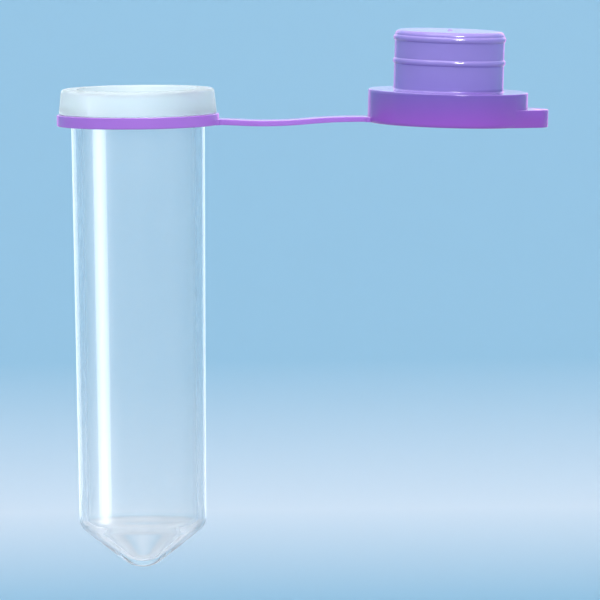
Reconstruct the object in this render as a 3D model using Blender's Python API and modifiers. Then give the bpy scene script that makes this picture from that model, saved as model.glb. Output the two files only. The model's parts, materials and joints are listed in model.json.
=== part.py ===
"""Microcentrifuge tube, 2 ml, with a strapped plug closure.

Two mouldings. The clear one is the tube: a collar round the mouth, a slightly tapered body and a
short cone with a rounded tip. The violet one is the closure: a ring that sits on the tube's neck
under the collar, a flexible strap, and a hollow plug cap with a thumb tab. The strap is a row of
short links with a hinge between each two, because it bends along its whole length.

Frame: origin on the tube's axis, in the plane of the ring's underside, which is what rests on a
rack when the tube hangs in its hole. +Z runs up out of the mouth and +X points along the strap.
"""

from math import acos, cos, pi, radians, sin, tan

import bmesh
import bpy
from mathutils import Matrix, Vector

MM = 0.001
COLLECTION = "microcentrifuge_tube"
TURN_STEPS = 48
ARC_STEPS = 5
TAB_STEPS = 14
MERGE = 1e-6

# Tube, from the rim down
RIM_Z = 2.97 * MM
TUBE_LENGTH = 38.78 * MM
TIP_Z = RIM_Z - TUBE_LENGTH
COLLAR_TOP_RADIUS = 6.19 * MM
COLLAR_BOTTOM_RADIUS = 6.39 * MM
COLLAR_BOTTOM_Z = 0.97 * MM
COLLAR_ROUND = 0.30 * MM
NECK_RADIUS = 5.40 * MM
BODY_BOTTOM_RADIUS = 5.12 * MM
CONE_ANGLE = radians(38.3)  # between the cone's flank and the horizontal
TIP_RADIUS = 2.50 * MM
SHOULDER_ROUND = 1.28 * MM
CONE_WALL = 0.68 * MM
MOUTH_RADIUS = 4.90 * MM
LEAD_IN_DEPTH = 0.50 * MM
BORE_TOP_RADIUS = 4.62 * MM
BORE_BOTTOM_RADIUS = 4.50 * MM
RIM_ROUND = 0.12 * MM

# Retaining ring
RING_INNER_RADIUS = 5.48 * MM
RING_OUTER_RADIUS = 6.56 * MM
RING_HEIGHT = 0.92 * MM
RING_ROUND = 0.28 * MM
RING_EDGE = 0.08 * MM

# Strap
STRAP_LENGTH = 12.00 * MM
STRAP_WIDTH = 2.60 * MM
STRAP_Z = 0.23 * MM
STRAP_THICKNESS_AT_RING = 0.46 * MM
STRAP_THICKNESS_AT_CAP = 0.40 * MM
STRAP_EDGE = 0.05 * MM
STRAP_ROOT = 0.40 * MM  # how deep the strap's ends run into the ring and the cap
HINGE_GAP = 0.26 * MM

# Strap hinges: (distance from the ring's outer face, bend of the strap there at rest in degrees)
HINGES = (
    (0.500 * MM, -3.70),
    (3.225 * MM, 4.65),
    (5.950 * MM, 3.58),
    (8.675 * MM, -3.98),
    (11.400 * MM, -2.91),
)

# Cap, from its outer face, which is at height 0 in its own frame, up to the plug's end
CAP_RADIUS = 6.46 * MM
CAP_FLANGE_HEIGHT = 2.73 * MM
CAP_EDGE_ROUND = 0.25 * MM
CAP_STRAP_Z = 0.25 * MM
PLUG_RADIUS = 4.44 * MM
PLUG_END_Z = 7.58 * MM
PLUG_END_ROUND = 0.40 * MM
BEAD_HEIGHT = 0.12 * MM
BEAD_HALF_WIDTH = 0.24 * MM
BEAD_DEPTHS = (0.63 * MM, 2.50 * MM)  # from the plug's end
RECESS_RADIUS = 3.70 * MM
RECESS_TOP_Z = 6.83 * MM
RECESS_ROUND = 0.50 * MM
RECESS_EDGE = 0.20 * MM
GATE_RADIUS = 0.25 * MM
GATE_HEIGHT = 0.10 * MM
TAB_HEIGHT = 1.43 * MM
TAB_TIP_RADIUS = 2.50 * MM
TAB_TIP_CENTRE = 5.64 * MM
TAB_EDGE = 0.15 * MM


def clear_scene():
    for thing in list(bpy.data.objects):
        bpy.data.objects.remove(thing, do_unlink=True)


def collection_named(name):
    group = bpy.data.collections.new(name)
    bpy.context.scene.collection.children.link(group)
    return group


def plastic(name, colour, roughness, transmission=0.0):
    material = bpy.data.materials.new(name)
    material.use_nodes = True
    shader = material.node_tree.nodes["Principled BSDF"]
    shader.inputs["Base Color"].default_value = (*colour, 1.0)
    shader.inputs["Roughness"].default_value = roughness
    shader.inputs["Metallic"].default_value = 0.0
    shader.inputs["Transmission Weight"].default_value = transmission
    return material


def arc(centre, radius, start, end, steps=ARC_STEPS):
    """Points (radius, height) on an arc from angle start to angle end, both included."""
    angles = (start + (end - start) * i / steps for i in range(steps + 1))
    return [(centre[0] + radius * cos(a), centre[1] + radius * sin(a)) for a in angles]


def rounded(before, corner, after, radius, steps=ARC_STEPS):
    """Points on the arc of the given radius that rounds off a corner of an outline."""
    corner = Vector(corner)
    to_before = (Vector(before) - corner).normalized()
    to_after = (Vector(after) - corner).normalized()
    half = to_before.angle(to_after) / 2
    centre = corner + (to_before + to_after).normalized() * (radius / sin(half))
    first = corner + to_before * (radius / tan(half)) - centre
    last = corner + to_after * (radius / tan(half)) - centre
    turn = first.angle_signed(last)
    return [
        tuple(centre + Matrix.Rotation(-turn * i / steps, 2) @ first)
        for i in range(steps + 1)
    ]


def turned(name, profile, closed, group):
    """A body of revolution about Z, from an outline in (radius, height)."""
    count = len(profile)
    edges = [(i, (i + 1) % count) for i in range(count if closed else count - 1)]
    mesh = bpy.data.meshes.new(name)
    mesh.from_pydata([(r, 0.0, z) for r, z in profile], edges, [])
    body = bpy.data.objects.new(name, mesh)
    group.objects.link(body)
    screw = body.modifiers.new("turn", "SCREW")
    screw.axis = "Z"
    screw.angle = 2 * pi
    screw.steps = TURN_STEPS
    screw.render_steps = TURN_STEPS
    screw.use_merge_vertices = True
    screw.merge_threshold = MERGE
    screw.use_smooth_shade = True
    return body


def join(body, addition):
    """Fuses a hidden second shape into a body."""
    union = body.modifiers.new(f"join_{addition.name}", "BOOLEAN")
    union.operation = "UNION"
    union.solver = "EXACT"
    union.object = addition
    addition.hide_render = True
    addition.display_type = "WIRE"


def tube_profile():
    """The tube's outline: up the bore from its lowest point, over the rim and down the outside."""
    tip_centre = (0.0, TIP_Z + TIP_RADIUS)
    slope = tan(CONE_ANGLE)
    inner_tip = TIP_RADIUS - CONE_WALL
    down = -pi / 2
    outer_tip_arc = arc(tip_centre, TIP_RADIUS, down + CONE_ANGLE, down)
    inner_tip_arc = arc(tip_centre, inner_tip, down, down + CONE_ANGLE)
    outer_flank, inner_flank = outer_tip_arc[0], inner_tip_arc[-1]
    shoulder = (
        BODY_BOTTOM_RADIUS,
        outer_flank[1] + (BODY_BOTTOM_RADIUS - outer_flank[0]) * slope,
    )
    bore_corner = (
        BORE_BOTTOM_RADIUS,
        inner_flank[1] + (BORE_BOTTOM_RADIUS - inner_flank[0]) * slope,
    )
    bore_top = (BORE_TOP_RADIUS, RIM_Z - LEAD_IN_DEPTH)
    mouth = (MOUTH_RADIUS, RIM_Z)
    collar_top = (COLLAR_TOP_RADIUS, RIM_Z)
    collar_bottom = (COLLAR_BOTTOM_RADIUS, COLLAR_BOTTOM_Z)
    neck = (NECK_RADIUS, COLLAR_BOTTOM_Z)
    bore_round = SHOULDER_ROUND - (BODY_BOTTOM_RADIUS - BORE_BOTTOM_RADIUS)
    return [
        *inner_tip_arc,
        *rounded(inner_flank, bore_corner, bore_top, bore_round),
        bore_top,
        *rounded(bore_top, mouth, collar_top, RIM_ROUND, 2),
        *rounded(mouth, collar_top, collar_bottom, COLLAR_ROUND, 4),
        collar_bottom,
        neck,
        *rounded(neck, shoulder, outer_flank, SHOULDER_ROUND),
        *outer_tip_arc,
    ]


def make_tube(group, material):
    tube = turned("tube_body", tube_profile(), False, group)
    tube.data.materials.append(material)


def strap_stations():
    """The strap's rest line: for each hinge its point in the XZ plane, and the heading after it."""
    point = Vector((RING_OUTER_RADIUS, 0.0, STRAP_Z))
    heading, travelled, stations = 0.0, 0.0, []
    for distance, bend in HINGES:
        point = point + along(heading) * (distance - travelled)
        heading += radians(bend)
        travelled = distance
        stations.append((point.copy(), heading, distance))
    return stations


def along(heading):
    return Vector((cos(heading), 0.0, sin(heading)))


def strap_thickness(distance):
    share = distance / STRAP_LENGTH
    return STRAP_THICKNESS_AT_RING + share * (
        STRAP_THICKNESS_AT_CAP - STRAP_THICKNESS_AT_RING
    )


def strap_piece(name, start, end, thickness, group):
    """A straight length of strap along its own X, with its edges broken."""
    mesh = bpy.data.meshes.new(name)
    shape = bmesh.new()
    bmesh.ops.create_cube(shape, size=1.0)
    size = Matrix.Diagonal((end - start, STRAP_WIDTH, thickness, 1.0))
    place = Matrix.Translation(((start + end) / 2, 0.0, 0.0))
    bmesh.ops.transform(shape, matrix=place @ size, verts=shape.verts)
    shape.to_mesh(mesh)
    shape.free()
    piece = bpy.data.objects.new(name, mesh)
    group.objects.link(piece)
    bevel = piece.modifiers.new("edges", "BEVEL")
    bevel.width = STRAP_EDGE
    bevel.segments = 1
    return piece


def make_links(group, material):
    """One link from each hinge to the next; the first and last lengths belong to ring and cap."""
    stations = strap_stations()
    for i, (station, following) in enumerate(zip(stations, stations[1:])):
        point, heading, distance = station
        length = following[2] - distance
        link = strap_piece(
            f"strap_link_{i + 1}",
            HINGE_GAP / 2,
            length - HINGE_GAP / 2,
            strap_thickness(distance + length / 2),
            group,
        )
        link.location = point
        link.rotation_euler = (0.0, -heading, 0.0)
        link.data.materials.append(material)


def ring_profile():
    bottom_inner = (RING_INNER_RADIUS, 0.0)
    top_inner = (RING_INNER_RADIUS, RING_HEIGHT)
    top_outer = (RING_OUTER_RADIUS, RING_HEIGHT)
    bottom_outer = (RING_OUTER_RADIUS, 0.0)
    return [
        bottom_inner,
        top_inner,
        *rounded(top_inner, top_outer, bottom_outer, RING_EDGE, 2),
        *rounded(top_outer, bottom_outer, bottom_inner, RING_ROUND, 4),
    ]


def make_ring(group, hidden, material):
    ring = turned("retaining_ring", ring_profile(), True, group)
    root = strap_piece(
        "strap_root_on_ring",
        RING_OUTER_RADIUS - STRAP_ROOT,
        RING_OUTER_RADIUS + HINGES[0][0] - HINGE_GAP / 2,
        strap_thickness(0.0),
        hidden,
    )
    root.location.z = STRAP_Z
    join(ring, root)
    ring.data.materials.append(material)


def bead(depth):
    """A sealing bead's outline on the plug's side, a low round ridge."""
    centre_z = PLUG_END_Z - depth
    steps = 4
    offsets = (pi * i / steps for i in range(steps + 1))
    return [
        (PLUG_RADIUS + BEAD_HEIGHT * sin(a), centre_z + BEAD_HALF_WIDTH * cos(a))
        for a in offsets
    ]


def cap_profile():
    """The cap's outline: from the plug's end out and down its side, and back up the recess."""
    end_edge = (PLUG_RADIUS, PLUG_END_Z)
    plug_root = (PLUG_RADIUS, CAP_FLANGE_HEIGHT)
    flange_top = (CAP_RADIUS, CAP_FLANGE_HEIGHT)
    flange_bottom = (CAP_RADIUS, 0.0)
    recess_edge = (RECESS_RADIUS, 0.0)
    recess_corner = (RECESS_RADIUS, RECESS_TOP_Z)
    recess_top = (0.0, RECESS_TOP_Z)
    return [
        (0.0, PLUG_END_Z + GATE_HEIGHT),
        (GATE_RADIUS * 0.7, PLUG_END_Z + GATE_HEIGHT * 0.7),
        (GATE_RADIUS, PLUG_END_Z),
        *rounded((GATE_RADIUS, PLUG_END_Z), end_edge, plug_root, PLUG_END_ROUND, 4),
        *bead(BEAD_DEPTHS[0]),
        *bead(BEAD_DEPTHS[1]),
        plug_root,
        *rounded(plug_root, flange_top, flange_bottom, CAP_EDGE_ROUND, 3),
        *rounded(flange_top, flange_bottom, recess_edge, CAP_EDGE_ROUND, 3),
        *rounded(flange_bottom, recess_edge, recess_corner, RECESS_EDGE, 2),
        *rounded(recess_edge, recess_corner, recess_top, RECESS_ROUND, 4),
        recess_top,
    ]


def tab_outline():
    """The thumb tab seen from above: a round tip with sides that run tangent to the flange."""
    angle = acos((CAP_RADIUS - TAB_TIP_RADIUS) / TAB_TIP_CENTRE)
    tip = arc((TAB_TIP_CENTRE, 0.0), TAB_TIP_RADIUS, -angle, angle, TAB_STEPS)
    root = CAP_RADIUS - CAP_EDGE_ROUND
    return [(root * cos(angle), -root * sin(angle)), *tip, (root * cos(angle), root * sin(angle))]


def make_tab(hidden):
    """The tab as a flat outline with thickness, in the cap's frame."""
    outline = bpy.data.curves.new("tab_outline", "CURVE")
    outline.dimensions = "2D"
    outline.fill_mode = "BOTH"
    outline.extrude = TAB_HEIGHT / 2
    points = tab_outline()
    spline = outline.splines.new("POLY")
    spline.points.add(len(points) - 1)
    for target, (x, y) in zip(spline.points, points):
        target.co = (x, y, 0.0, 1.0)
    spline.use_cyclic_u = True
    drawn = bpy.data.objects.new("tab_outline", outline)
    hidden.objects.link(drawn)
    evaluated = drawn.evaluated_get(bpy.context.evaluated_depsgraph_get())
    mesh = bpy.data.meshes.new_from_object(evaluated)
    bpy.data.objects.remove(drawn)
    shape = bmesh.new()
    shape.from_mesh(mesh)
    bmesh.ops.remove_doubles(shape, verts=shape.verts, dist=MERGE)
    shape.to_mesh(mesh)
    shape.free()
    tab = bpy.data.objects.new("thumb_tab", mesh)
    hidden.objects.link(tab)
    bevel = tab.modifiers.new("edges", "BEVEL")
    bevel.width = TAB_EDGE
    bevel.segments = 2
    bevel.limit_method = "ANGLE"
    bevel.angle_limit = radians(60)
    return tab


def make_cap(group, hidden, material):
    """The cap, turned in its own frame and hung on the strap's last hinge."""
    point, heading, distance = strap_stations()[-1]
    pivot = bpy.data.objects.new("cap_pivot", None)
    hidden.objects.link(pivot)
    pivot.location = point
    pivot.rotation_euler = (0.0, -heading, 0.0)
    to_axis = STRAP_LENGTH - distance + CAP_RADIUS
    cap = turned("closure_cap", cap_profile(), False, group)
    tab = make_tab(hidden)
    root = strap_piece(
        "strap_root_on_cap",
        HINGE_GAP / 2,
        STRAP_LENGTH - distance + STRAP_ROOT,
        strap_thickness(STRAP_LENGTH),
        hidden,
    )
    for piece in (cap, tab, root):
        piece.parent = pivot
    cap.location = (to_axis, 0.0, -CAP_STRAP_Z)
    tab.location = (to_axis, 0.0, TAB_HEIGHT / 2 - CAP_STRAP_Z)
    join(cap, tab)
    join(cap, root)
    cap.data.materials.append(material)


def main():
    clear_scene()
    parts = collection_named(COLLECTION)
    hidden = collection_named("cutters")
    clear_plastic = plastic("clear_polypropylene", (0.80, 0.90, 0.95), 0.08, 0.9)
    violet_plastic = plastic("violet_polyethylene", (0.34, 0.16, 0.66), 0.30)
    make_tube(parts, clear_plastic)
    make_ring(parts, hidden, violet_plastic)
    make_links(parts, violet_plastic)
    make_cap(parts, hidden, violet_plastic)


main()
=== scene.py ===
"""The looks of the 2 ml microcentrifuge tube: a clear polypropylene tube, and its violet closure.

Sizes are in millimetres on the tube's axis, with height 0 at the ring's underside, and MM turns
them into the frame's metres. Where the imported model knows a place, it comes from the frame.
"""

import json
from math import acos, asin, cos, pi, radians, sin, sqrt, tan

import bmesh
import bpy
from mathutils import Matrix, Vector

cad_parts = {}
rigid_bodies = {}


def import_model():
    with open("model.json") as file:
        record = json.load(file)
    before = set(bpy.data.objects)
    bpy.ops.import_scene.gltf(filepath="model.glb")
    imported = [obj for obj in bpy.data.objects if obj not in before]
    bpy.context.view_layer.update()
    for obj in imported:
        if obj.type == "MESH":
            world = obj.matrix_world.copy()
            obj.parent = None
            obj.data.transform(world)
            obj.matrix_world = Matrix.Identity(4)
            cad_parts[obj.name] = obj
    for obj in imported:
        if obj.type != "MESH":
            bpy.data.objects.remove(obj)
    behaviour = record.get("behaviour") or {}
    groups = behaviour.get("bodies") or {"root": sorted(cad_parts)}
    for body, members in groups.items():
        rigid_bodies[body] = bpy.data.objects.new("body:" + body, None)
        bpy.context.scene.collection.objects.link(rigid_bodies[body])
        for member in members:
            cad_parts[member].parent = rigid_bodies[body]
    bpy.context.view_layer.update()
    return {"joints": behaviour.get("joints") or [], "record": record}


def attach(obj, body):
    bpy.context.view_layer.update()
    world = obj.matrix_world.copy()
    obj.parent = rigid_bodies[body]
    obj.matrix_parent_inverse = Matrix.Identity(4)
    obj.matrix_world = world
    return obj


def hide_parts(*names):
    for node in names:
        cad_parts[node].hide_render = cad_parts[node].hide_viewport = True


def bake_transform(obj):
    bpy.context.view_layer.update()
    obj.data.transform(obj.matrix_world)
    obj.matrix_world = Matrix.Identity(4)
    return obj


MM = 0.001
TURN_STEPS = 240
STAGE_STEPS = 96
ROUND_STEPS = 10
SMOOTH_UNDER = radians(30)  # edges that turn more than this stay sharp
HOLD = 0.05  # distance from a long side's ends of the points that keep it shading flat
LONG_SIDE = 0.25
WELD = 1e-7  # metres

# Tube
RIM_Z = 2.97
TIP_Z = -35.81
COLLAR_TOP_RADIUS = 6.19
COLLAR_BOTTOM_RADIUS = 6.39
COLLAR_BOTTOM_Z = 0.97
COLLAR_ROUND = 0.30
COLLAR_EDGE = 0.10
NECK_RADIUS = 5.40
NECK_FILLET = 0.05
BODY_BOTTOM_RADIUS = 5.12
CONE_ANGLE = radians(38.3)
TIP_RADIUS = 2.50
SHOULDER_ROUND = 1.28
CONE_WALL = 0.68
MOUTH_RADIUS = 4.90
RIM_ROUND = 0.12
LEAD_IN_DEPTH = 0.50
LEAD_IN_ROUND = 0.40
BORE_TOP_RADIUS = 4.62
BORE_BOTTOM_RADIUS = 4.43

# Ring, strap and cap
RING_INNER_RADIUS = 5.48
RING_OUTER_RADIUS = 6.56
RING_HEIGHT = 0.92
RING_EDGE = 0.06
RING_FOOT_EDGE = 0.10
RING_SEAM = (0.2, 0.3)  # heights on the inner face between which the outline closes
STRAP_WIDTH = 2.60
STRAP_Z = 0.23
STRAP_THICK_AT_RING = 0.46
STRAP_THICK_AT_CAP = 0.40
STRAP_CORNER = 0.05
STRAP_CORNER_STEPS = 4
STRAP_FILLET = 0.45
STRAP_ROOT = 0.50  # depth to which the strap's ends run into the ring and the cap
STRAP_STEPS = 16
CAP_RADIUS = 6.46
FLANGE_HEIGHT = 2.73
FLANGE_TOP_EDGE = 0.10
FLANGE_FOOT_ROUND = 0.25
CAP_STRAP_Z = 0.25
PLUG_RADIUS = 4.44
PLUG_FILLET = 0.15
PLUG_SIDE_START = 0.50  # height above the flange at which the plug's plain side is picked up
PLUG_END_Z = 7.58
PLUG_END_ROUND = 0.40
BEAD_DEPTHS = (0.63, 2.50)  # distances from the plug's end
BEAD_HEIGHT = 0.12
BEAD_HALF_WIDTH = 0.24
BEAD_PEAK = 1.5  # above 1, the bead rises from the plug with a fillet
GATE_RADIUS = 0.35  # the moulding mark on the plug's end, a dome sunk into it
GATE_SINK = 0.25
GATE_EDGE = pi / 4
GATE_STEPS = 6
RECESS_RADIUS = 3.70
RECESS_DRAFT = 0.15
RECESS_EDGE = 0.20
RECESS_ROUND = 0.50
RECESS_TOP_Z = 6.83
TAB_HEIGHT = 1.43
TAB_TIP_RADIUS = 2.50
TAB_TIP_CENTRE = 5.64
TAB_TIP_STEPS = 40
TAB_ROOT = 0.25  # depth to which the tab runs into the flange
TAB_EDGE = 0.08
TAB_EDGE_STEPS = 3

# Materials: noise scales are features per metre, and depths are in metres
NOISE_SPAN = (0.3, 0.7)  # the part of the noise's range that is used
BUMP_STRENGTH = 0.5

# Clear plastic: the cone's looks turn into the barrel's, and those into the frosted collar's
SHOULDER_BAND = (TIP_Z + 3.6, TIP_Z + 5.6)
COLLAR_BAND = (COLLAR_BOTTOM_Z - 0.1, COLLAR_BOTTOM_Z + 0.1)
CONE_TO_BARREL_IOR = (1.12, 1.49)
CONE_TO_BARREL_CLEARNESS = (0.905, 0.965)
COLLAR_CLEARNESS = 0.92  # as a share of the barrel's
CLEAR_ROUGHNESS = (0.02, 0.05)
COLLAR_ROUGHNESS = 0.50
GLOSS_ROUGHNESS = 0.28  # of the coat below the collar
CLEAR_TINTS = ((0.975, 0.982, 0.985), (0.995, 1.0, 1.0))
COLLAR_TINT = (0.91, 1.00, 0.985)
FLOW_SCALE = 500.0
FLOW_DETAIL = 3.0
FLOW_STRETCH = (1.0, 1.0, 0.12)  # long features along the axis
FLOW_DEPTH = 0.0000008

# Violet plastic: the cap's shades are multiplied by its colours, from the flange's foot up; these
# colours hold painted light and shade
VIOLET_IOR = 1.51
VIOLET_CLEARNESS = 0.15
VIOLET_ROUGHNESS = (0.13, 0.17)
CLOUD_SCALE = 260.0
CLOUD_DETAIL = 2.0
GRAIN_SCALE = 2500.0
GRAIN_DETAIL = 1.0
GRAIN_DEPTH = 0.0000002
# The ring and strap are painted lighter than the cap's flange, as painted light that comes through the
# thin plastic
STRIP_VIOLETS_PAINTED_LIGHT = ((0.40, 0.150, 0.60), (0.44, 0.175, 0.65))
CAP_SHADES = ((0.88, 0.88, 0.88), (1.0, 1.0, 1.0))
FOOT_VIOLET = (0.33, 0.085, 0.52)
# Painted shade: the thick flange is painted darker than the thin plug, ring and strap
FLANGE_VIOLET_PAINTED_SHADE = (0.205, 0.108, 0.46)
# Painted light: the thin plug is painted lighter and bluer, for the light and the blue backdrop that
# come through its wall
PLUG_VIOLET_PAINTED_LIGHT = (0.32, 0.23, 0.62)
CAP_VIOLETS_WITH_PAINTED_LIGHT = ((0.0, FOOT_VIOLET), (0.9 * FLANGE_HEIGHT, FLANGE_VIOLET_PAINTED_SHADE), (FLANGE_HEIGHT, PLUG_VIOLET_PAINTED_LIGHT))

# Stage, with its paint as heights and colours upwards
STAGE_FLOOR_Z = -300.0
STAGE_RADIUS = 1600.0
STAGE_WALL = 1300.0
STAGE_CURVE = 90.0
FLOOR_PALE = (0.56, 0.585, 0.63)
STAGE_BLUE = (0.377, 0.600, 0.746)
# A band of painted light on the wall, like a lit horizon
PAINTED_LIGHT_BAND_BLUE = (0.782, 0.840, 0.900)
PAINT = ((-213.0, FLOOR_PALE), (-193.5, STAGE_BLUE), (-172.7, PAINTED_LIGHT_BAND_BLUE), (-139.0, STAGE_BLUE))
PAINT_ROUGHNESS = 0.9
PAINT_SHINE = 0.1

# Lights, in metres and watts. Each row is a panel's name, its bearing in degrees from the view's
# direction towards the left, its height, (width, height), distance, power and what it lights.
# The three strips lie one inside another, so that their reflection has soft edges.
LIT_HEIGHT = -15.0  # where the panels face, in millimetres like the shapes
PANELS = (
    ("strip_left", 109.0, -0.02, (0.25, 0.26), 0.5, 0.60, "tube"),
    ("strip_left", 109.0, -0.02, (0.17, 0.26), 0.5, 0.60, "tube"),
    ("strip_left", 109.0, -0.02, (0.10, 0.26), 0.5, 0.80, "tube"),
    ("rear_left", 24.0, 0.182, (0.42, 0.58), 0.5, 0.70, "tube"),
    ("rear_right", -18.0, 0.182, (0.31, 0.58), 0.5, 0.45, "tube"),
    ("tube_fill", 180.0, 0.4, (0.5, 0.3), 0.6, 4.8, "tube"),
    ("front_right", -156.0, 0.33, (0.05, 0.03), 0.6, 1.1, "closure"),
    ("rim_left", 17.0, 0.03, (0.20, 0.30), 0.5, 0.11, "closure"),
    ("rim_right", -17.0, 0.03, (0.20, 0.30), 0.5, 0.17, "closure"),
    ("glint", -156.0, 0.33, (0.20, 0.05), 0.6, 5.5, "closure"),
    ("rear_high", 0.0, 0.17, (0.8, 0.30), 0.5, 0.3, "closure"),
    ("overhead", 160.0, 1.0, (1.0, 1.0), 0.4, 9.0, "everything"),
)
MIRRORED = ("rim_left", "rim_right", "glint")  # lights that show only as reflections
TINTED = ("rim_left", "rim_right")
RIM_PINK = (1.0, 0.12, 0.80)
AIR_STRENGTH = 1.46

# Picture
CAMERA_PLACE = Vector((12.93, -907.0, 48.89)) * MM
CAMERA_AIM = Vector((12.93, 0.0, -14.31)) * MM
CAMERA_ROLL = radians(-0.66)
VIEW_WIDTH = 48.54 * MM


def arc(centre, radius, start, end, steps=ROUND_STEPS):
    """Points (radius, height) on an arc from angle start to angle end, both included."""
    angles = (start + (end - start) * i / steps for i in range(steps + 1))
    return [(centre[0] + radius * cos(a), centre[1] + radius * sin(a)) for a in angles]


def rounded(before, corner, after, radius, steps=ROUND_STEPS):
    """Points on the arc of the given radius that rounds off a corner of an outline."""
    corner = Vector(corner)
    to_before = (Vector(before) - corner).normalized()
    to_after = (Vector(after) - corner).normalized()
    half = to_before.angle(to_after) / 2
    centre = corner + (to_before + to_after).normalized() * (radius / sin(half))
    first = corner + to_before * (radius / tan(half)) - centre
    last = corner + to_after * (radius / tan(half)) - centre
    turn = first.angle_signed(last)
    return [
        tuple(centre + Matrix.Rotation(-turn * i / steps, 2) @ first)
        for i in range(steps + 1)
    ]


def rounded_outline(corners):
    """An open outline from (radius, height, rounding) corners; the first and last stay as they are."""
    points = [corners[0][:2]]
    for before, corner, after in zip(corners, corners[1:], corners[2:]):
        if corner[2]:
            points += rounded(before[:2], corner[:2], after[:2], corner[2])
        else:
            points.append(corner[:2])
    return points + [corners[-1][:2]]


def new_object(name, shape):
    """An object from a bmesh, smooth except at sharp edges."""
    mesh = bpy.data.meshes.new(name)
    shape.to_mesh(mesh)
    shape.free()
    made = bpy.data.objects.new(name, mesh)
    bpy.context.scene.collection.objects.link(made)
    mesh.shade_smooth()
    mesh.set_sharp_from_angle(angle=SMOOTH_UNDER)
    return made


def held(outline):
    """The outline with a point near each end of every long side, so that it shades flat."""
    points = [outline[0]]
    for start, end in zip(outline, outline[1:]):
        side = Vector(end) - Vector(start)
        if side.length > LONG_SIDE:
            step = side.normalized() * HOLD
            points += [tuple(Vector(start) + step), tuple(Vector(end) - step)]
        points.append(end)
    return points


def lathe(name, outline, closed=False, steps=TURN_STEPS):
    """A body of revolution about Z from an outline in (radius, height), in millimetres."""
    shape = bmesh.new()
    points = [shape.verts.new((r * MM, 0.0, z * MM)) for r, z in held(outline)]
    pairs = list(zip(points, points[1:])) + ([(points[-1], points[0])] if closed else [])
    edges = [shape.edges.new(pair) for pair in pairs]
    bmesh.ops.spin(
        shape,
        geom=points + edges,
        axis=(0, 0, 1),
        cent=(0, 0, 0),
        steps=steps,
        angle=2 * pi,
        use_merge=True,
    )
    bmesh.ops.remove_doubles(shape, verts=shape.verts, dist=WELD)
    bmesh.ops.recalc_face_normals(shape, faces=shape.faces)
    return new_object(name, shape)


def shader_nodes(name):
    """A new material with its node tree and its Principled shader."""
    material = bpy.data.materials.new(name)
    material.use_nodes = True
    tree = material.node_tree
    return material, tree, tree.nodes["Principled BSDF"]


def feed(tree, socket, value):
    """Links a node's output to a socket, or sets the socket to a constant."""
    if isinstance(value, bpy.types.NodeSocket):
        tree.links.new(value, socket)
    else:
        socket.default_value = value


def mixed(tree, kind, factor, first, second, blend="MIX"):
    """The first value or colour turned into the second, or blended with it, by a factor."""
    mix = tree.nodes.new("ShaderNodeMix")
    mix.data_type = kind
    mix.blend_type = blend
    feed(tree, mix.inputs["Factor"], factor)
    feed(tree, mix.inputs["A"], first)
    feed(tree, mix.inputs["B"], second)
    return mix.outputs["Result"]


def noise(tree, scale, detail, stretch=(1.0, 1.0, 1.0)):
    """Object-space noise in features of about 1/scale metres, stretched along the axes."""
    place = tree.nodes.new("ShaderNodeTexCoord")
    mapping = tree.nodes.new("ShaderNodeMapping")
    mapping.inputs["Scale"].default_value = stretch
    texture = tree.nodes.new("ShaderNodeTexNoise")
    texture.inputs["Scale"].default_value = scale
    texture.inputs["Detail"].default_value = detail
    tree.links.new(place.outputs["Object"], mapping.inputs["Vector"])
    tree.links.new(mapping.outputs["Vector"], texture.inputs["Vector"])
    return texture.outputs["Fac"]


def ranged(tree, value, low, high):
    """A noise value spread over low to high."""
    spread = tree.nodes.new("ShaderNodeMapRange")
    spread.inputs["From Min"].default_value = NOISE_SPAN[0]
    spread.inputs["From Max"].default_value = NOISE_SPAN[1]
    spread.inputs["To Min"].default_value = low
    spread.inputs["To Max"].default_value = high
    tree.links.new(value, spread.inputs["Value"])
    return spread.outputs["Result"]


def between(tree, value, dark, light):
    """A colour that wanders between two close shades."""
    return mixed(tree, "RGBA", value, (*dark, 1.0), (*light, 1.0))


def bumped(tree, shader, value, depth):
    """Raises a shader's surface by a noise value, to a depth in metres."""
    bump = tree.nodes.new("ShaderNodeBump")
    bump.inputs["Distance"].default_value = depth
    bump.inputs["Strength"].default_value = BUMP_STRENGTH
    tree.links.new(value, bump.inputs["Height"])
    tree.links.new(bump.outputs["Normal"], shader.inputs["Normal"])


def above(tree, low, high, start=0.0, end=1.0):
    """A value that goes from start to end between two heights in millimetres."""
    place = tree.nodes.new("ShaderNodeTexCoord")
    split = tree.nodes.new("ShaderNodeSeparateXYZ")
    step = tree.nodes.new("ShaderNodeMapRange")
    step.inputs["From Min"].default_value = low * MM
    step.inputs["From Max"].default_value = high * MM
    step.inputs["To Min"].default_value = start
    step.inputs["To Max"].default_value = end
    tree.links.new(place.outputs["Object"], split.inputs["Vector"])
    tree.links.new(split.outputs["Z"], step.inputs["Value"])
    return step.outputs["Result"]


def coloured_by_height(tree, stops):
    """A colour that changes upwards through (height in millimetres, colour) stops."""
    ramp = tree.nodes.new("ShaderNodeValToRGB")
    bottom, top = stops[0][0], stops[-1][0]
    first, last = ramp.color_ramp.elements
    first.color = (*stops[0][1], 1.0)
    last.color = (*stops[-1][1], 1.0)
    for height, colour in stops[1:-1]:
        stop = ramp.color_ramp.elements.new((height - bottom) / (top - bottom))
        stop.color = (*colour, 1.0)
    tree.links.new(above(tree, bottom, top), ramp.inputs["Fac"])
    return ramp.outputs["Color"]


def clearness_by_height(tree):
    """How much light the clear plastic lets through: less in the cone and in the collar."""
    share = tree.nodes.new("ShaderNodeMath")
    share.operation = "MULTIPLY"
    tree.links.new(above(tree, *SHOULDER_BAND, *CONE_TO_BARREL_CLEARNESS), share.inputs[0])
    tree.links.new(above(tree, *COLLAR_BAND, 1.0, COLLAR_CLEARNESS), share.inputs[1])
    return share.outputs["Value"]


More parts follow.
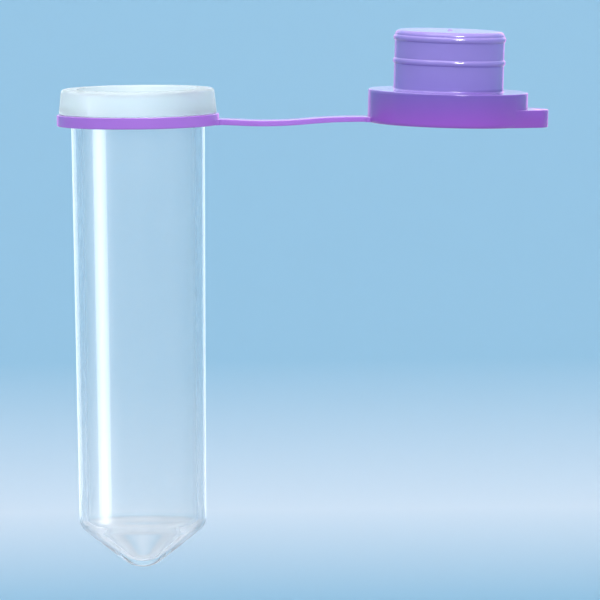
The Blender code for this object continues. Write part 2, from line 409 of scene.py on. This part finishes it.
def clear_polypropylene():
    """Clear moulded plastic with flow lines along the axis and a frosted collar.

    Its cone bends light less than the barrel does, so that it does not look dark.
    """
    material, tree, shader = shader_nodes("clear_polypropylene")
    flow = noise(tree, FLOW_SCALE, FLOW_DETAIL, FLOW_STRETCH)
    collar = above(tree, *COLLAR_BAND)
    clear_roughness = ranged(tree, flow, *CLEAR_ROUGHNESS)
    clear_colour = between(tree, flow, *CLEAR_TINTS)
    roughness = mixed(tree, "FLOAT", collar, clear_roughness, COLLAR_ROUGHNESS)
    colour = mixed(tree, "RGBA", collar, clear_colour, (*COLLAR_TINT, 1.0))
    tree.links.new(colour, shader.inputs["Base Color"])
    tree.links.new(roughness, shader.inputs["Roughness"])
    tree.links.new(above(tree, *SHOULDER_BAND, *CONE_TO_BARREL_IOR), shader.inputs["IOR"])
    tree.links.new(clearness_by_height(tree), shader.inputs["Transmission Weight"])
    tree.links.new(above(tree, *COLLAR_BAND, 1.0, 0.0), shader.inputs["Coat Weight"])
    shader.inputs["Coat Roughness"].default_value = GLOSS_ROUGHNESS
    bumped(tree, shader, flow, FLOW_DEPTH)
    return material


def violet_polyethylene(name, shades, colours=()):
    """Violet moulded plastic that lets a little light through, with a glossy skin.

    Colours, if given, are (height, colour) stops that its shades are multiplied by.
    """
    material, tree, shader = shader_nodes(name)
    cloud = noise(tree, CLOUD_SCALE, CLOUD_DETAIL)
    grain = noise(tree, GRAIN_SCALE, GRAIN_DETAIL)
    colour = between(tree, cloud, *shades)
    if colours:
        colour = mixed(tree, "RGBA", 1.0, coloured_by_height(tree, colours), colour, "MULTIPLY")
    tree.links.new(colour, shader.inputs["Base Color"])
    tree.links.new(ranged(tree, grain, *VIOLET_ROUGHNESS), shader.inputs["Roughness"])
    bumped(tree, shader, grain, GRAIN_DEPTH)
    shader.inputs["IOR"].default_value = VIOLET_IOR
    shader.inputs["Transmission Weight"].default_value = VIOLET_CLEARNESS
    return material


def finish_piece(piece, material):
    """Gives a piece its material."""
    piece.data.materials.append(material)


def tube_outline():
    """The tube's outline: up the bore from its lowest point, over the rim and down the outside."""
    tip_centre = (0.0, TIP_Z + TIP_RADIUS)
    down = -pi / 2
    outer_tip = arc(tip_centre, TIP_RADIUS, down + CONE_ANGLE, down)
    inner_tip = arc(tip_centre, TIP_RADIUS - CONE_WALL, down, down + CONE_ANGLE)
    flank, inner_flank = outer_tip[0], inner_tip[-1]
    slope = tan(CONE_ANGLE)
    shoulder_z = flank[1] + (BODY_BOTTOM_RADIUS - flank[0]) * slope
    bore_corner_z = inner_flank[1] + (BORE_BOTTOM_RADIUS - inner_flank[0]) * slope
    bore_round = SHOULDER_ROUND - (BODY_BOTTOM_RADIUS - BORE_BOTTOM_RADIUS)
    corners = [
        (*inner_flank, 0.0),
        (BORE_BOTTOM_RADIUS, bore_corner_z, bore_round),
        (BORE_TOP_RADIUS, RIM_Z - LEAD_IN_DEPTH, LEAD_IN_ROUND),
        (MOUTH_RADIUS, RIM_Z, RIM_ROUND),
        (COLLAR_TOP_RADIUS, RIM_Z, COLLAR_ROUND),
        (COLLAR_BOTTOM_RADIUS, COLLAR_BOTTOM_Z, COLLAR_EDGE),
        (NECK_RADIUS, COLLAR_BOTTOM_Z, NECK_FILLET),
        (BODY_BOTTOM_RADIUS, shoulder_z, SHOULDER_ROUND),
        (*flank, 0.0),
    ]
    return inner_tip[:-1] + rounded_outline(corners) + outer_tip[1:]


def make_tube(material):
    """The clear tube with its collar, turned in one piece."""
    tube = lathe("tube_shell", tube_outline())
    finish_piece(tube, material)
    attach(tube, "tube")
    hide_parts("tube_body")
    return tube


def make_ring(material):
    """The retaining ring, which turns on the tube's neck."""
    corners = [
        (RING_INNER_RADIUS, RING_SEAM[1], 0.0),
        (RING_INNER_RADIUS, RING_HEIGHT, RING_EDGE),
        (RING_OUTER_RADIUS, RING_HEIGHT, RING_EDGE),
        (RING_OUTER_RADIUS, 0.0, RING_FOOT_EDGE),
        (RING_INNER_RADIUS, 0.0, RING_EDGE),
        (RING_INNER_RADIUS, RING_SEAM[0], 0.0),
    ]
    ring = lathe("neck_ring", rounded_outline(corners), closed=True)
    finish_piece(ring, material)
    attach(ring, "ring")
    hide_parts("retaining_ring")
    return ring


def bead(depth):
    """The outline of a sealing bead, a low ridge at a depth from the plug's end."""
    centre_z = PLUG_END_Z - depth
    angles = (pi * i / ROUND_STEPS for i in range(ROUND_STEPS + 1))
    return [
        (PLUG_RADIUS + BEAD_HEIGHT * sin(a) ** BEAD_PEAK, centre_z + BEAD_HALF_WIDTH * cos(a))
        for a in angles
    ]


def cap_outline():
    """The cap's outline in its own frame: from the plug's end, down its side and up the hollow."""
    gate = arc((0.0, PLUG_END_Z - GATE_SINK), GATE_RADIUS, pi / 2, GATE_EDGE, GATE_STEPS)
    plug_end = rounded(
        (0.0, PLUG_END_Z), (PLUG_RADIUS, PLUG_END_Z), (PLUG_RADIUS, 0.0), PLUG_END_ROUND
    )
    corners = [
        (PLUG_RADIUS, FLANGE_HEIGHT + PLUG_SIDE_START, 0.0),
        (PLUG_RADIUS, FLANGE_HEIGHT, PLUG_FILLET),
        (CAP_RADIUS, FLANGE_HEIGHT, FLANGE_TOP_EDGE),
        (CAP_RADIUS, 0.0, FLANGE_FOOT_ROUND),
        (RECESS_RADIUS + RECESS_DRAFT, 0.0, RECESS_EDGE),
        (RECESS_RADIUS, RECESS_TOP_Z, RECESS_ROUND),
        (0.0, RECESS_TOP_Z, 0.0),
    ]
    beads = bead(BEAD_DEPTHS[0]) + bead(BEAD_DEPTHS[1])
    return gate + plug_end + beads + rounded_outline(corners)


def make_tab():
    """The thumb tab: a flat plate with a round tip and sides tangent to the flange."""
    angle = acos((CAP_RADIUS - TAB_TIP_RADIUS) / TAB_TIP_CENTRE)
    tip = arc((TAB_TIP_CENTRE, 0.0), TAB_TIP_RADIUS, -angle, angle, TAB_TIP_STEPS)
    root = CAP_RADIUS - TAB_ROOT
    outline = [(root * cos(angle), -root * sin(angle)), *tip, (root * cos(angle), root * sin(angle))]
    shape = bmesh.new()
    base = [shape.verts.new((x * MM, y * MM, 0.0)) for x, y in outline]
    floor = shape.faces.new(base)
    top = bmesh.ops.extrude_face_region(shape, geom=[floor])["geom"]
    lifted = [v for v in top if isinstance(v, bmesh.types.BMVert)]
    bmesh.ops.translate(shape, vec=(0.0, 0.0, TAB_HEIGHT * MM), verts=lifted)
    bmesh.ops.recalc_face_normals(shape, faces=shape.faces)
    rims = [e for e in shape.edges if abs(e.verts[0].co.z - e.verts[1].co.z) < WELD]
    bmesh.ops.bevel(
        shape,
        geom=rims,
        offset=TAB_EDGE * MM,
        segments=TAB_EDGE_STEPS,
        affect="EDGES",
        profile=0.5,
    )
    return new_object("thumb_tab", shape)


def fuse(body, addition):
    """Joins an addition to a body, whose mesh then holds both."""
    union = body.modifiers.new(addition.name, "BOOLEAN")
    union.operation = "UNION"
    union.object = addition
    evaluated = body.evaluated_get(bpy.context.evaluated_depsgraph_get())
    fused = bpy.data.meshes.new_from_object(evaluated)
    body.modifiers.clear()
    body.data = fused
    bpy.data.objects.remove(addition)
    fused.shade_smooth()
    fused.set_sharp_from_angle(angle=SMOOTH_UNDER)
    fused.materials.clear()


def make_cap(frame, material):
    """The cap with its tab fused on, set on the strap's last hinge as the frame has it."""
    cap = lathe("plug_cap", cap_outline())
    fuse(cap, make_tab())
    cap.data.transform(cap_place(frame))
    finish_piece(cap, material)
    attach(cap, "cap")
    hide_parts("closure_cap")
    return cap


def mount_named(frame, name):
    """The record's mount of that name."""
    return next(m for m in frame["record"]["mounts"] if m["name"] == name)


def cap_place(frame):
    """Where the cap's own frame sits: its outer face's centre, and its tilt about Y."""
    face = mount_named(frame, "cap_face")
    tilt = asin(-face["axis"][0])
    centre = Vector((face["pos_m"][0], 0.0, face["pos_m"][2]))
    return Matrix.Translation(centre) @ Matrix.Rotation(tilt, 4, "Y")


def strap_hinges(frame):
    """The strap's hinges in order from the ring: (body before, body after, point)."""
    return [
        (j["parent"], j["child"], Vector(j["pos_m"]))
        for j in frame["joints"]
        if j["name"] != "ring_swivel"
    ]


def strap_section(width, thickness):
    """The strap's cross-section, a rectangle with rounded corners, as (across, up) points."""
    corner = STRAP_CORNER * MM
    half_w, half_t = width / 2 - corner, thickness / 2 - corner
    section = []
    for i, (side, up) in enumerate(((1, 1), (-1, 1), (-1, -1), (1, -1))):
        for k in range(STRAP_CORNER_STEPS + 1):
            a = pi / 2 * (i + k / STRAP_CORNER_STEPS)
            section.append((side * half_w + corner * cos(a), up * half_t + corner * sin(a)))
    return section


def bezier(start, control, end, count):
    """Points and directions along a quadratic curve from start to end that bends at control."""
    for i in range(count + 1):
        t = i / count
        point = start * (1 - t) ** 2 + control * (2 * t * (1 - t)) + end * t**2
        direction = (control - start) * (1 - t) + (end - control) * t
        yield point, direction.normalized()


def strap_size(x, ring_x, cap_x):
    """The strap's width and thickness: it thins towards the cap, and spreads at both ends."""
    along = (x - ring_x) / (cap_x - ring_x)
    thickness = (STRAP_THICK_AT_RING + along * (STRAP_THICK_AT_CAP - STRAP_THICK_AT_RING)) * MM
    radius = STRAP_FILLET * MM
    inset = min(max(0.0, radius - min(x - ring_x, cap_x - x)), radius)
    spread = radius - sqrt(radius**2 - inset**2)
    return STRAP_WIDTH * MM + 2 * spread, thickness


def sweep_strap(name, line, ring_x, cap_x):
    """One length of the strap, with its cross-section set square to every point of a line."""
    shape = bmesh.new()
    rows = []
    for point, direction in line:
        width, thickness = strap_size(point.x, ring_x, cap_x)
        up = Vector((-direction.z, 0.0, direction.x))
        rows.append(
            [
                shape.verts.new(point + Vector((0.0, across, 0.0)) + up * high)
                for across, high in strap_section(width, thickness)
            ]
        )
    count = len(rows[0])
    for row, following in zip(rows, rows[1:]):
        for i in range(count):
            k = (i + 1) % count
            shape.faces.new((row[i], row[k], following[k], following[i]))
    shape.faces.new(rows[0])
    shape.faces.new(rows[-1])
    bmesh.ops.recalc_face_normals(shape, faces=shape.faces)
    return new_object(name, shape)


def make_strap(frame, material):
    """A length of strap over each hinge, from the middle of one link to the middle of the next."""
    hinges = strap_hinges(frame)
    points = [hinge[2] for hinge in hinges]
    ring_x = RING_OUTER_RADIUS * MM
    start = Vector((ring_x, 0.0, STRAP_Z * MM))
    place = cap_place(frame)
    end = place @ (Vector((-CAP_RADIUS, 0.0, CAP_STRAP_Z)) * MM)
    inside_ring = start - Vector((STRAP_ROOT * MM, 0.0, 0.0))
    inside_cap = place @ (Vector((STRAP_ROOT - CAP_RADIUS, 0.0, CAP_STRAP_Z)) * MM)
    middles = [start] + [(a + b) / 2 for a, b in zip(points, points[1:])] + [end]
    pieces = []
    for i, (before, after, point) in enumerate(hinges):
        line = list(bezier(middles[i], point, middles[i + 1], STRAP_STEPS))
        if i == 0:
            line = [(inside_ring, line[0][1])] + line
        if i == len(hinges) - 1:
            line = line + [(inside_cap, line[-1][1])]
        piece = sweep_strap(f"strap_{i + 1}", line, ring_x, end.x)
        finish_piece(piece, material)
        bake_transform(piece)
        if i < len(hinges) - 1:
            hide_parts(f"strap_link_{i + 1}")
        pieces.append(piece)
    return pieces


def stage_paint():
    """Matt paint: a pale floor, and a blue wall with one paler band of painted light, like a lit
    horizon.
    """
    material, tree, shader = shader_nodes("stage_paint")
    tree.links.new(coloured_by_height(tree, PAINT), shader.inputs["Base Color"])
    shader.inputs["Roughness"].default_value = PAINT_ROUGHNESS
    shader.inputs["Specular IOR Level"].default_value = PAINT_SHINE
    return material


def make_stage():
    """A round studio: a floor that curves up into a wall all round."""
    outline = rounded_outline(
        [
            (0.0, STAGE_FLOOR_Z, 0.0),
            (STAGE_RADIUS, STAGE_FLOOR_Z, STAGE_CURVE),
            (STAGE_RADIUS, STAGE_FLOOR_Z + STAGE_WALL, 0.0),
        ]
    )
    stage = lathe("studio", outline, steps=STAGE_STEPS)
    stage.data.materials.append(stage_paint())


def make_light(name, bearing, height, size, distance, power):
    """A soft panel facing the tube, which the camera sees neither directly nor through plastic."""
    light = bpy.data.lights.new(name, "AREA")
    light.shape = "RECTANGLE"
    light.size, light.size_y = size
    light.energy = power
    panel = bpy.data.objects.new(name, light)
    bpy.context.scene.collection.objects.link(panel)
    turn = radians(bearing)
    panel.location = (-distance * sin(turn), distance * cos(turn), height)
    facing = Vector((0.0, 0.0, LIT_HEIGHT * MM)) - panel.location
    panel.rotation_euler = facing.to_track_quat("-Z", "Y").to_euler()
    panel.visible_camera = False
    panel.visible_transmission = False
    return panel


def light_only(panel, pieces):
    """Keeps a panel's light to some pieces."""
    lit = bpy.data.collections.new(panel.name)
    for piece in pieces:
        lit.objects.link(piece)
    panel.light_linking.receiver_collection = lit


def make_lights(tube, closure):
    """The panels of light."""
    pieces = {"tube": (tube,), "closure": closure}
    for name, bearing, height, size, distance, power, lit in PANELS:
        panel = make_light(name, bearing, height, size, distance, power)
        if lit in pieces:
            light_only(panel, pieces[lit])
        if name in MIRRORED:
            panel.visible_diffuse = False
        if name in TINTED:
            panel.data.color = RIM_PINK


def make_air():
    """Even white light from all round."""
    world = bpy.data.worlds.new("studio_air")
    world.use_nodes = True
    background = world.node_tree.nodes["Background"]
    background.inputs["Color"].default_value = (1.0, 1.0, 1.0, 1.0)
    background.inputs["Strength"].default_value = AIR_STRENGTH
    bpy.context.scene.world = world


def make_camera():
    """The camera: a long lens from far away, framed like the photograph."""
    camera = bpy.data.cameras.new("camera")
    look = bpy.data.objects.new("camera", camera)
    bpy.context.scene.collection.objects.link(look)
    sight = CAMERA_AIM - CAMERA_PLACE
    facing = sight.to_track_quat("-Z", "Y").to_matrix().to_4x4()
    roll = Matrix.Rotation(CAMERA_ROLL, 4, "Z")
    look.matrix_world = Matrix.Translation(CAMERA_PLACE) @ facing @ roll
    camera.lens = camera.sensor_width * sight.length / VIEW_WIDTH
    camera.dof.use_dof = False
    bpy.context.scene.camera = look


def main():
    """Builds the finished part, its stage, lights and camera."""
    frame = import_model()
    strip_violet_painted_light = violet_polyethylene("violet_strip_painted_light", STRIP_VIOLETS_PAINTED_LIGHT)
    tube = make_tube(clear_polypropylene())
    ring = make_ring(strip_violet_painted_light)
    strap = make_strap(frame, strip_violet_painted_light)
    cap = make_cap(frame, violet_polyethylene("violet_cap_painted_light", CAP_SHADES, CAP_VIOLETS_WITH_PAINTED_LIGHT))
    make_stage()
    make_lights(tube, (ring, *strap, cap))
    make_air()
    make_camera()
    bpy.context.scene.view_settings.view_transform = "Standard"


main()
